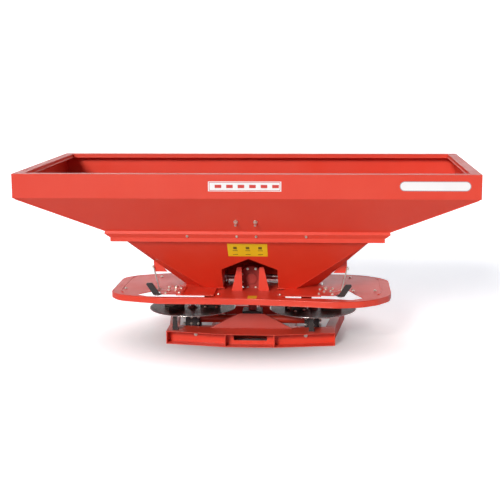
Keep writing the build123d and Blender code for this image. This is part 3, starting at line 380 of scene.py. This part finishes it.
def range_node(tree, value, low, high, out_low=0.0, out_high=1.0):
    node = tree.nodes.new("ShaderNodeMapRange")
    link(tree, value, node.inputs["Value"])
    node.inputs["From Min"].default_value = low
    node.inputs["From Max"].default_value = high
    node.inputs["To Min"].default_value = out_low
    node.inputs["To Max"].default_value = out_high
    return node.outputs["Result"]


def mix_colour(tree, factor, a, b, blend="MIX"):
    node = tree.nodes.new("ShaderNodeMix")
    node.data_type = "RGBA"
    node.blend_type = blend
    for socket, value in ((node.inputs["Factor"], factor), (node.inputs["A"], a), (node.inputs["B"], b)):
        colour_sockets = [s for s in node.inputs if s.type == "RGBA"]
        target = socket
        if socket.name == "A":
            target = colour_sockets[0]
        if socket.name == "B":
            target = colour_sockets[1]
        if isinstance(value, bpy.types.NodeSocket):
            link(tree, value, target)
        else:
            target.default_value = value
    return [s for s in node.outputs if s.type == "RGBA"][0]


def make_paint_tone():
    """Slow change of tone over a painted surface, with faint vertical wash marks."""
    group, enter, leave = new_group(
        "paint_tone",
        [
            ("Paint", "NodeSocketColor", (1, 0, 0, 1)),
            ("Faded", "NodeSocketColor", (1, 0.2, 0.1, 1)),
            ("Spread", "NodeSocketFloat", 0.35),
        ],
        [("Color", "NodeSocketColor"), ("Mask", "NodeSocketFloat")],
    )
    cloud = range_node(group, noise_node(group, 2.2, 5), 0.35, 0.70)
    wash = range_node(group, noise_node(group, 9.0, 3, stretch=(1, 1, 0.12)), 0.45, 0.75)
    clouded = math_node(group, "MULTIPLY", cloud, 0.7)
    both = math_node(group, "ADD", clouded, math_node(group, "MULTIPLY", wash, 0.3))
    mask = math_node(group, "MULTIPLY", both, enter["Spread"], clamp=True)
    link(group, mix_colour(group, mask, enter["Paint"], enter["Faded"]), leave["Color"])
    link(group, mask, leave["Mask"])
    return group


def make_edge_wear():
    """Mask that is 1 on edges, broken up by noise, from how far a rounded normal leans."""
    group, enter, leave = new_group(
        "edge_wear",
        [("Amount", "NodeSocketFloat", 0.5), ("Grain", "NodeSocketFloat", 60.0)],
        [("Mask", "NodeSocketFloat")],
    )
    geometry = group.nodes.new("ShaderNodeNewGeometry")
    rounded = group.nodes.new("ShaderNodeBevel")
    rounded.samples = 6
    rounded.inputs["Radius"].default_value = 0.004
    lean = group.nodes.new("ShaderNodeVectorMath")
    lean.operation = "DOT_PRODUCT"
    link(group, rounded.outputs["Normal"], lean.inputs[0])
    link(group, geometry.outputs["Normal"], lean.inputs[1])
    edge = range_node(group, lean.outputs["Value"], 0.985, 0.85)
    grain = range_node(group, noise_node(group, enter["Grain"], 6, 0.7), 0.46, 0.62)
    worn = math_node(group, "MULTIPLY", edge, grain, clamp=True)
    link(group, math_node(group, "MULTIPLY", worn, enter["Amount"], clamp=True), leave["Mask"])
    return group


def make_dust():
    """Fine dust that lies on faces that look up, in patches."""
    group, enter, leave = new_group(
        "settled_dust",
        [
            ("Surface", "NodeSocketColor", (0.5, 0.5, 0.5, 1)),
            ("Dust", "NodeSocketColor", (0.5, 0.45, 0.4, 1)),
            ("Amount", "NodeSocketFloat", 0.3),
        ],
        [("Color", "NodeSocketColor"), ("Mask", "NodeSocketFloat")],
    )
    geometry = group.nodes.new("ShaderNodeNewGeometry")
    split = group.nodes.new("ShaderNodeSeparateXYZ")
    link(group, geometry.outputs["Normal"], split.inputs["Vector"])
    upward = range_node(group, split.outputs["Z"], 0.35, 0.95)
    patches = range_node(group, noise_node(group, 14.0, 8, 0.65), 0.42, 0.68)
    lying = math_node(group, "MULTIPLY", upward, patches)
    mask = math_node(group, "MULTIPLY", lying, enter["Amount"], clamp=True)
    link(group, mix_colour(group, mask, enter["Surface"], enter["Dust"]), leave["Color"])
    link(group, mask, leave["Mask"])
    return group


def make_fine_relief():
    """Height of small surface waves with finer grain on top."""
    group, enter, leave = new_group(
        "fine_relief",
        [("Coarse", "NodeSocketFloat", 80.0), ("Fine", "NodeSocketFloat", 600.0)],
        [("Height", "NodeSocketFloat")],
    )
    coarse = noise_node(group, enter["Coarse"], 2)
    fine = noise_node(group, enter["Fine"], 3)
    waves = math_node(group, "MULTIPLY", coarse, 0.8)
    height = math_node(group, "ADD", waves, math_node(group, "MULTIPLY", fine, 0.2))
    link(group, height, leave["Height"])
    return group


GROUPS = {
    "tone": make_paint_tone(),
    "wear": make_edge_wear(),
    "dust": make_dust(),
    "relief": make_fine_relief(),
}


# ------------------------------------------------------------------ materials
def new_material(name):
    material = bpy.data.materials.new(name)
    material.use_nodes = True
    return material, material.node_tree.nodes["Principled BSDF"]


def use_group(tree, key, **values):
    """Places a shared group in a material with its own values."""
    node = tree.nodes.new("ShaderNodeGroup")
    node.node_tree = GROUPS[key]
    for label, value in values.items():
        node.inputs[label.replace("_", " ")].default_value = value
    return node


def add_bump(tree, shader, height, strength, distance, bevel=0.0):
    """Bump from a height, over edges rounded by a small radius."""
    bump = tree.nodes.new("ShaderNodeBump")
    bump.inputs["Strength"].default_value = strength
    bump.inputs["Distance"].default_value = distance
    link(tree, height, bump.inputs["Height"])
    if bevel:
        rounded = tree.nodes.new("ShaderNodeBevel")
        rounded.samples = 4
        rounded.inputs["Radius"].default_value = bevel
        link(tree, rounded.outputs["Normal"], bump.inputs["Normal"])
    link(tree, bump.outputs["Normal"], shader.inputs["Normal"])


def painted(name, paint, faded, rough, coat, wear=0.35, dust=0.10):
    """Coated sheet metal: tone change, dust on top, bright worn edges."""
    material, shader = new_material(name)
    tree = material.node_tree
    tone = use_group(tree, "tone", Paint=paint, Faded=faded, Spread=0.30)
    dusty = use_group(tree, "dust", Dust=(0.42, 0.33, 0.28, 1), Amount=dust)
    link(tree, tone.outputs["Color"], dusty.inputs["Surface"])
    worn = use_group(tree, "wear", Amount=wear, Grain=70.0)
    colour = mix_colour(tree, worn.outputs["Mask"], dusty.outputs["Color"], (0.55, 0.33, 0.27, 1))
    link(tree, colour, shader.inputs["Base Color"])
    blotch = range_node(tree, noise_node(tree, 5.0, 5), 0.3, 0.7, rough - 0.05, rough + 0.08)
    dull = math_node(tree, "MULTIPLY", dusty.outputs["Mask"], 0.5)
    link(tree, math_node(tree, "ADD", blotch, dull, clamp=True), shader.inputs["Roughness"])
    shader.inputs["Coat Weight"].default_value = coat
    shader.inputs["Coat Roughness"].default_value = 0.12
    relief = use_group(tree, "relief", Coarse=26.0, Fine=480.0)
    add_bump(tree, shader, relief.outputs["Height"], 0.10, 0.0012, bevel=0.0022)
    return material


def metal(name, colour, dark, rough, grain=220.0, stretch=(1, 1, 1), bump=0.12):
    """Bare or plated steel with a fine grain and darker stains."""
    material, shader = new_material(name)
    tree = material.node_tree
    stains = range_node(tree, noise_node(tree, 18.0, 7, 0.65), 0.42, 0.75)
    tinted = mix_colour(tree, stains, colour, dark)
    dusty = use_group(tree, "dust", Dust=(0.36, 0.30, 0.25, 1), Amount=0.18)
    link(tree, tinted, dusty.inputs["Surface"])
    link(tree, dusty.outputs["Color"], shader.inputs["Base Color"])
    shader.inputs["Metallic"].default_value = 0.95
    streaks = noise_node(tree, grain, 3, stretch=stretch)
    link(tree, range_node(tree, streaks, 0.3, 0.7, rough - 0.07, rough + 0.12), shader.inputs["Roughness"])
    add_bump(tree, shader, streaks, bump, 0.0004, bevel=0.0008)
    return material


def plastic(name, colour, rough):
    """Moulded plastic with a fine pebble grain."""
    material, shader = new_material(name)
    tree = material.node_tree
    dusty = use_group(tree, "dust", Surface=colour, Dust=(0.20, 0.18, 0.16, 1), Amount=0.25)
    link(tree, dusty.outputs["Color"], shader.inputs["Base Color"])
    grain = noise_node(tree, 900.0, 3)
    link(tree, range_node(tree, grain, 0.3, 0.7, rough - 0.06, rough + 0.1), shader.inputs["Roughness"])
    add_bump(tree, shader, grain, 0.25, 0.0004, bevel=0.0012)
    return material


def cast(name, colour):
    """Painted casting with a sandy skin."""
    material, shader = new_material(name)
    tree = material.node_tree
    tone = use_group(tree, "tone", Paint=colour, Faded=(0.12, 0.115, 0.11, 1), Spread=0.6)
    dusty = use_group(tree, "dust", Dust=(0.25, 0.20, 0.17, 1), Amount=0.4)
    link(tree, tone.outputs["Color"], dusty.inputs["Surface"])
    link(tree, dusty.outputs["Color"], shader.inputs["Base Color"])
    sand = use_group(tree, "relief", Coarse=180.0, Fine=700.0)
    link(tree, range_node(tree, sand.outputs["Height"], 0.3, 0.7, 0.38, 0.62), shader.inputs["Roughness"])
    add_bump(tree, shader, sand.outputs["Height"], 0.6, 0.0012, bevel=0.002)
    return material


def printed(name, colour, rough=0.35):
    """Printed foil of a label."""
    material, shader = new_material(name)
    tree = material.node_tree
    tone = use_group(tree, "tone", Paint=colour, Faded=tuple(c * 0.88 for c in colour[:3]) + (1,), Spread=0.6)
    link(tree, tone.outputs["Color"], shader.inputs["Base Color"])
    foil = noise_node(tree, 40.0, 3)
    link(tree, range_node(tree, foil, 0.3, 0.7, rough - 0.05, rough + 0.1), shader.inputs["Roughness"])
    add_bump(tree, shader, foil, 0.08, 0.0006)
    return material


RED = (0.70, 0.040, 0.014, 1)
FADED_RED = (0.78, 0.085, 0.040, 1)
BLACK = (0.020, 0.016, 0.015, 1)
FADED_BLACK = (0.045, 0.038, 0.034, 1)
VANE_STEEL = (0.13, 0.105, 0.09, 1)
VANE_STAIN = (0.07, 0.055, 0.045, 1)
STAINLESS = (0.66, 0.66, 0.66, 1)
STAINLESS_STAIN = (0.45, 0.44, 0.42, 1)
MATERIALS = {
    "red_paint": painted("red_powder_coat", RED, FADED_RED, 0.40, 0.12),
    # The matt red and the maroon are darker, duller copies of the red paint: painted shade for parts that sit
    # in the machine's shadow.
    "matt_shade_darkened_red": painted("matt_shade_darkened_red", (0.42, 0.026, 0.010, 1), (0.50, 0.05, 0.025, 1), 0.58, 0.0),
    "shade_darkened_maroon": painted("painted_shade_maroon", (0.34, 0.018, 0.010, 1), (0.42, 0.04, 0.03, 1), 0.50, 0.0),
    "black_paint": painted("black_lever_paint", BLACK, FADED_BLACK, 0.42, 0.15),
    "gearbox_cast": cast("gearbox_casting", (0.022, 0.018, 0.018, 1)),
    "zinc_steel": metal("zinc_plate", (0.80, 0.78, 0.70, 1), (0.58, 0.53, 0.43, 1), 0.32),
    "bearing_steel": metal("bearing_steel", (0.55, 0.56, 0.58, 1), (0.30, 0.30, 0.30, 1), 0.25),
    "shaft_steel": metal("turned_shaft", (0.40, 0.40, 0.41, 1), (0.20, 0.17, 0.15, 1), 0.28, 300.0),
    # Near-black disc steel: painted shade and a painted dark reflection of the machine's underside, on discs
    # of bright stainless steel.
    "disc_steel": metal("shade_darkened_disc_steel", (0.060, 0.045, 0.040, 1), (0.030, 0.024, 0.022, 1), 0.34, 90.0),
    "vane_steel": metal("worn_vane_steel", VANE_STEEL, VANE_STAIN, 0.36, 240.0, (1, 1, 0.1)),
    "shutter_steel": metal("stainless_shutter", STAINLESS, STAINLESS_STAIN, 0.30, 260.0, (0.1, 1, 1)),
    "guard_plastic": plastic("shaft_guard_plastic", (0.02, 0.02, 0.021, 1), 0.45),
    "rim_steel": metal("polished_disc_rim", (0.62, 0.60, 0.58, 1), (0.34, 0.31, 0.28, 1), 0.24, 320.0),
    "white_foil": printed("white_label_foil", (0.86, 0.85, 0.84, 1)),
    "grey_foil": printed("grey_label_border", (0.36, 0.34, 0.36, 1)),
    "red_foil": printed("red_label_print", (0.62, 0.045, 0.03, 1)),
    "yellow_foil": printed("yellow_label_foil", (0.86, 0.56, 0.012, 1)),
    "dark_foil": printed("dark_label_print", (0.16, 0.10, 0.012, 1)),
    "scale_foil": printed("scale_mark_white", (0.72, 0.70, 0.66, 1)),
}


# Red-painted parts deep in the machine and under the guard get darker copies of the red paint: painted shade
# for the shadow they sit in.
SHADED_NODES = {
    "agitator_gearbox": "shade_darkened_maroon",
    "agitator_gearbox_cover": "shade_darkened_maroon",
    "agitator_column": "shade_darkened_maroon",
    "gearbox_shield": "matt_shade_darkened_red",
}


def dress_cad_nodes():
    """Gives each carried-over node the material of its slot, or a darker red as painted shade for the nodes
    in SHADED_NODES.
    """
    for part in frame["record"]["subparts"]:
        node = frame["nodes"][part["node"]]
        node.data.materials.clear()
        node.data.materials.append(MATERIALS[SHADED_NODES.get(part["node"], part["material_slot"])])


DOME_NUT = [(0.0105, 0), (0.0105, 0.0015), (0.0085, 0.002), (0.0082, 0.006), (0.0065, 0.0088),
            (0.003, 0.0102)]
HEX_NUT = [(0.013, 0), (0.013, 0.0018), (0.0088, 0.0022), (0.0092, 0.003), (0.0092, 0.0075), (0.0084, 0.0085),
           (0.0052, 0.0085), (0.0050, 0.0115), (0.0042, 0.0122)]


def make_hopper_details():
    """Welded corners and rolled inner hem of the hopper."""
    seams = []
    for sx in (-1, 1):
        for sy in (-1, 1):
            top = Vector((sx * RIM_X, sy * RIM_Y, BAND_BOTTOM))
            low = Vector((sx * THROAT_X, sy * THROAT_Y, THROAT_Z))
            seams.append((top.lerp(low, 0.03), low, 0.0026))
            neck = (sx * FUNNEL_X, sy * FUNNEL_Y, COLLAR_BOTTOM)
            seams.append((neck, (sx * FACET_X, sy * FOOT_Y, FUNNEL_BOTTOM), 0.0017))
            seams.append((neck, (sx * FOOT_X, sy * FACET_Y, FUNNEL_BOTTOM), 0.0017))
    beads = [sweep("seam", along(a, b, 0.006), r, ripple=0.10, sides=6) for a, b, r in seams]
    finish(join("hopper_weld_seams", beads), "frame", "red_paint")
    x = RIM_X - 0.060
    y = RIM_Y - 0.060
    corners = [(x, y), (-x, y), (-x, -y), (x, -y)]
    hem = [(p.x, p.y, LIP_BOTTOM + 0.002) for p in rounded_path(corners, 0.02)]
    finish(sweep("hopper_rolled_hem", hem, 0.0045, closed=True), "frame", "red_paint")


BAND_FACE = -RIM_Y - 0.0001
PRINT_FACE = BAND_FACE - 0.0001
FOIL = 0.0012
FOIL_EDGE = 0.0003


def on_band(x0, x1, z0, z1, y):
    """Corners of an upright rectangle on the hopper's rear band."""
    return [(x0, y, z0), (x1, y, z0), (x1, y, z1), (x0, y, z1)]


def capsule(x0, x1, z0, z1, y):
    """Outline of an upright plate with round ends."""
    r = (z1 - z0) / 2
    turns = [math.radians(-90 + 15 * k) for k in range(13)]
    right = [(x1 - r + r * math.cos(a), y, z0 + r + r * math.sin(a)) for a in turns]
    left = [(x0 + r - r * math.cos(a), y, z0 + r - r * math.sin(a)) for a in turns]
    return right + left


def on_panel(x0, x1, z0, z1, lift):
    """Corners of a rectangle that lies on the sloping rear panel of the funnel."""
    near, far = (-FOOT_Y - (z - FUNNEL_BOTTOM) * PANEL_RUN - lift for z in (z0, z1))
    return [(x0, near, z0), (x1, near, z0), (x1, far, z1), (x0, far, z1)]


def make_label(name, outlines, thickness, bevel, foil):
    """Foil shapes stuck on the red paint."""
    finish(plates(name, outlines, thickness, bevel), "frame", foil)


def make_band_labels():
    """Plain striped plate and plain capsule on the band; they hold no lettering."""
    white = on_band(-0.204, 0.217, 1.028, 1.085, BAND_FACE)
    make_label("band_plate_white", [white], FOIL, FOIL_EDGE, "white_foil")
    stripes = [on_band(-0.198, 0.211, z, z + 0.003, PRINT_FACE) for z in (1.032, 1.078)]
    stripes += [on_band(x, x + 0.003, 1.035, 1.078, PRINT_FACE) for x in (-0.198, 0.208)]
    for k in range(6):
        start = -0.165 + 0.066 * k
        stripes.append(on_band(start, start + 0.038, 1.047, 1.066, PRINT_FACE))
    make_label("band_plate_stripes", stripes, 0.0008, 0.0001, "red_foil")
    border = capsule(0.888, 1.289, 1.032, 1.088, BAND_FACE)
    make_label("band_badge_border", [border], FOIL, FOIL_EDGE, "grey_foil")
    plain = capsule(0.892, 1.285, 1.036, 1.084, PRINT_FACE)
    make_label("band_badge_plain", [plain], FOIL, 0.0002, "white_foil")


def make_yellow_labels():
    """Plain yellow plates on the funnel and the guard; the larger has neutral bars."""
    yellow = on_panel(-0.120, 0.120, 0.591, 0.681, 0.0008)
    make_label("panel_plate_yellow", [yellow], FOIL, FOIL_EDGE, "yellow_foil")
    marks = []
    for x in (-0.090, -0.014, 0.062):
        for z in (0.602, 0.630):
            marks.append(on_panel(x, x + 0.030, z, z + 0.004, 0.0012))
    marks += [on_panel(x, x + 0.022, 0.642, 0.660, 0.0012) for x in (-0.086, -0.010, 0.066)]
    make_label("panel_plate_marks", marks, 0.0006, 0.0001, "dark_foil")
    top = GUARD_TOP + 0.0006
    corners = [(-0.004, -0.405, top), (0.052, -0.405, top), (0.052, -0.330, top), (-0.004, -0.330, top)]
    make_label("bridge_plate_yellow", [corners], 0.001, 0.0003, "yellow_foil")


def make_guard_details():
    """Rolled edge, pressed ribs and bolts of the disc guard."""
    middle = Vector((0, -0.03))
    edge = [p + (middle - p).normalized() * 0.004 for p in rounded_path(GUARD_EDGE, GUARD_CORNER)]
    for name, drop, radius in (("guard_rolled_edge", 0.003, 0.0048), ("guard_lip_hem", 0.034, 0.0038)):
        path = [p.to_3d() + Vector((0, 0, GUARD_TOP - drop)) for p in edge]
        finish(sweep(name, path, radius, closed=True), "frame", "red_paint")
    ribs = []
    for s in (-1, 1):
        outer = [(0.800, 0.255), (0.818, 0.205), (0.820, 0.0), (0.818, -0.190), (0.795, -0.262)]
        path = [(s * x, y, GUARD_TOP + 0.0005) for x, y in outer]
        smooth = [p for a, b in zip(path, path[1:]) for p in along(a, b, 0.02)[:-1]] + [Vector(path[-1])]
        ribs.append(sweep("rib", smooth, 0.0065, squash=0.45))
    finish(join("guard_pressed_ribs", ribs), "frame", "red_paint")
    bolts = [(-0.623, 0.236), (0.630, 0.258), (0.642, -0.156), (0.779, -0.150), (-0.796, -0.147)]
    bolts += [(0.19, -0.30), (-0.19, -0.30)]
    finish(lathe("guard_bolts", DOME_NUT, [placed(x, y, GUARD_TOP) for x, y in bolts]), "frame", "zinc_steel")


def make_stay_nuts():
    """Nuts at the head and foot of the two stay rods, square to the leaning rods."""
    nuts = []
    for s in (-1, 1):
        lean = Vector((s * (STAY_HEAD[0] - STAY_FOOT[0]), 0, STAY_HEAD[2] - STAY_FOOT[2])).normalized()
        nuts.append(placed(s * STAY_FOOT[0], STAY_FOOT[1], QUADRANT_TOP, lean))
        nuts.append(placed(s * STAY_HEAD[0], STAY_HEAD[1], STAY_HEAD[2] - 0.016, lean))
    finish(lathe("stay_nuts", HEX_NUT, nuts, 6), "frame", "zinc_steel")


SCALE_REACH = 0.102
SCALE_MARKS = 11


def make_quadrant_details():
    """Scale marks round the pivot and the clamp nut on each metering quadrant."""
    marks = []
    clamps = []
    for s in SIDES.values():
        centre = Vector((s * PIVOT[0], PIVOT[1], QUADRANT_TOP + 0.0006))
        for k in range(SCALE_MARKS):
            a = math.radians(-74 + 5 * k)
            length = 0.016 if k % 5 == 0 else 0.009
            out = Vector((s * math.cos(a), math.sin(a), 0))
            across = Vector((-out.y, out.x, 0)) * 0.0011 * s
            far = centre + out * SCALE_REACH
            near = far - out * length
            marks.append([near - across, far - across, far + across, near + across][::s])
        clamps.append(placed(s * 0.503, -0.262, QUADRANT_TOP))
    finish(plates("quadrant_scale_marks", marks, 0.0009, 0.0001), "frame", "scale_foil")
    finish(lathe("quadrant_clamp_nuts", HEX_NUT, clamps, 6), "frame", "zinc_steel")


VANE_TURNS = (20, 200)
VANE_LEADS = (-20, 20)


def make_disc_details():
    """Rolled bright rim and vane bolts of each spreading disc."""
    for side, s in SIDES.items():
        body = f"{side}_disc"
        turns = [2 * math.pi * k / 96 for k in range(96)]
        reach = DISC_RADIUS - 0.0022
        roll_z = DISC_TOP + 0.0025
        ring = [(s * DISC_X + reach * math.cos(a), DRIVE_Y + reach * math.sin(a), roll_z) for a in turns]
        finish(sweep(f"disc_rolled_rim_{side}", ring, 0.0028, closed=True), body, "rim_steel")
        bolts = []
        across = 0.013 * s
        for turn in VANE_TURNS:
            for lead in VANE_LEADS:
                a = math.radians(turn + s * lead)
                for reach in (0.085, 0.155):
                    x = s * DISC_X + reach * math.cos(a) - across * math.sin(a)
                    y = DRIVE_Y + reach * math.sin(a) + across * math.cos(a)
                    bolts.append(placed(x, y, DISC_TOP + 0.003))
        finish(lathe(f"vane_bolts_{side}", DOME_NUT, bolts, 12), body, "zinc_steel")


def make_gearbox_details():
    """Ribs and cover bolts on the front and rear of the side gearboxes."""
    ribs = []
    bolts = []
    for s in (-1, 1):
        for x in (0.362, 0.420):
            for face in (-1, 1):
                y = DRIVE_Y + face * HOUSING_HALF
                out = y + face * 0.006
                left = s * x - 0.004
                right = s * x + 0.004
                ribs.append([(left, y, 0.066), (right, y, 0.066), (right, out, 0.085), (left, out, 0.085)])
        for face in (-1, 1):
            for x in (0.346, 0.391, 0.436):
                for z in (0.094, 0.136):
                    bolts.append(placed(s * x, DRIVE_Y + face * HOUSING_HALF, z, (0, face, 0)))
    finish(plates("gearbox_ribs", ribs, 0.004, 0.001), "frame", "gearbox_cast")
    finish(lathe("gearbox_bolts", DOME_NUT, bolts, 6), "frame", "zinc_steel")


def make_shaft_guard_folds():
    """Folds of the bellows over the input shaft's guard."""
    low = 0.0605
    high = 0.0645
    folds = [(low, 0.0)]
    for k in range(7):
        z = 0.006 + 0.012 * k
        folds += [(low, z), (high, z + 0.003), (high, z + 0.006), (low, z + 0.009)]
    folds.append((low, 0.09))
    folded = sleeve("shaft_guard_folds", folds, placed(0, 0.598, DRIVE_Z, (0, 1, 0)), 0.0015)
    finish(folded, "frame", "guard_plastic")


def make_frame_details():
    """Weld beads at the feet of the headstock posts and of the tunnel gussets."""
    seams = []
    weld_z = GUARD_TOP + 0.001
    for s in (-1, 1):
        for x in (s * (POST_X - POST_HALF), s * (POST_X + POST_HALF)):
            seams.append(((x, POST_REAR, BASE_TOP), (x, POST_REAR + POST_DEPTH, BASE_TOP), 0.0035))
        seams.append(((s * 0.052, -0.176, weld_z), (s * 0.116, -0.176, weld_z), 0.003))
        seams.append(((s * 0.085, -0.165, weld_z), (s * 0.085, -0.113, weld_z), 0.003))
    beads = [sweep("seam", along(a, b, 0.005), r, ripple=0.14, sides=6) for a, b, r in seams]
    finish(join("frame_weld_seams", beads), "frame", "red_paint")


place_camera()
place_light()
place_floor()
dress_cad_nodes()
make_hopper_details()
make_band_labels()
make_yellow_labels()
make_guard_details()
make_stay_nuts()
make_quadrant_details()
make_disc_details()
make_gearbox_details()
make_shaft_guard_folds()
make_frame_details()

bpy.context.scene.view_settings.view_transform = "Standard"
